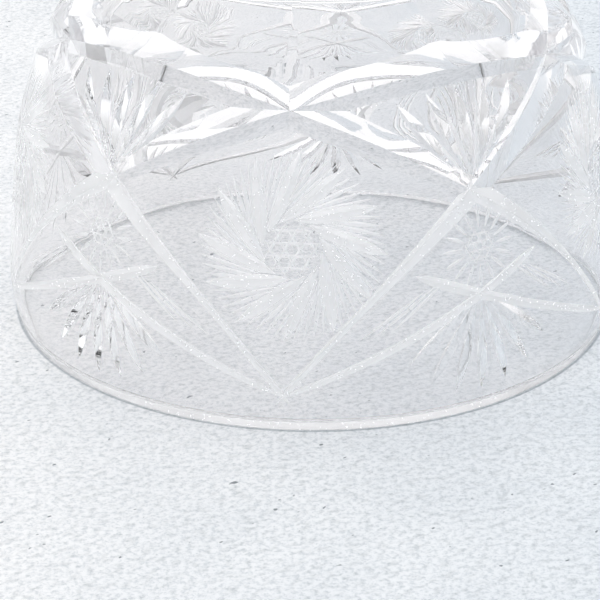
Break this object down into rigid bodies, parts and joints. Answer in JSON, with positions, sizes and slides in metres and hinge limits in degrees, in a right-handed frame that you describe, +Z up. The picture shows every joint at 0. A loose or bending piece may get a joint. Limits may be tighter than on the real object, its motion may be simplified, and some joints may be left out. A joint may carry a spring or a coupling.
{
  "type": "punch bowl",
  "caption": "Heavy cut-crystal punch bowl turned over on its rim, with sweeping mitre arches, pinwheel and fan cuts, a thick panelled shoulder and a bonded foot.",
  "frame": {"origin": "centre of the rim plane, on the surface that the turned-over bowl rests on", "axes": "+Z up from the rim towards the foot, along the axis of the bowl; -Y faces the viewer, +X to the viewer's right"},
  "size_m": [0.2646, 0.265, 0.1833],
  "materials": {
    "bowl_crystal": "clear lead crystal, polished, with wheel-cut and polished mitres",
    "foot_crystal": "clear lead crystal, ground and polished, fluted edge",
    "clear_bond": "thin clear cured adhesive film"
  },
  "bodies": {
    "root": {"bowl": "bowl_crystal", "foot_bond": "clear_bond", "foot": "foot_crystal"}
  },
  "joints": []
}
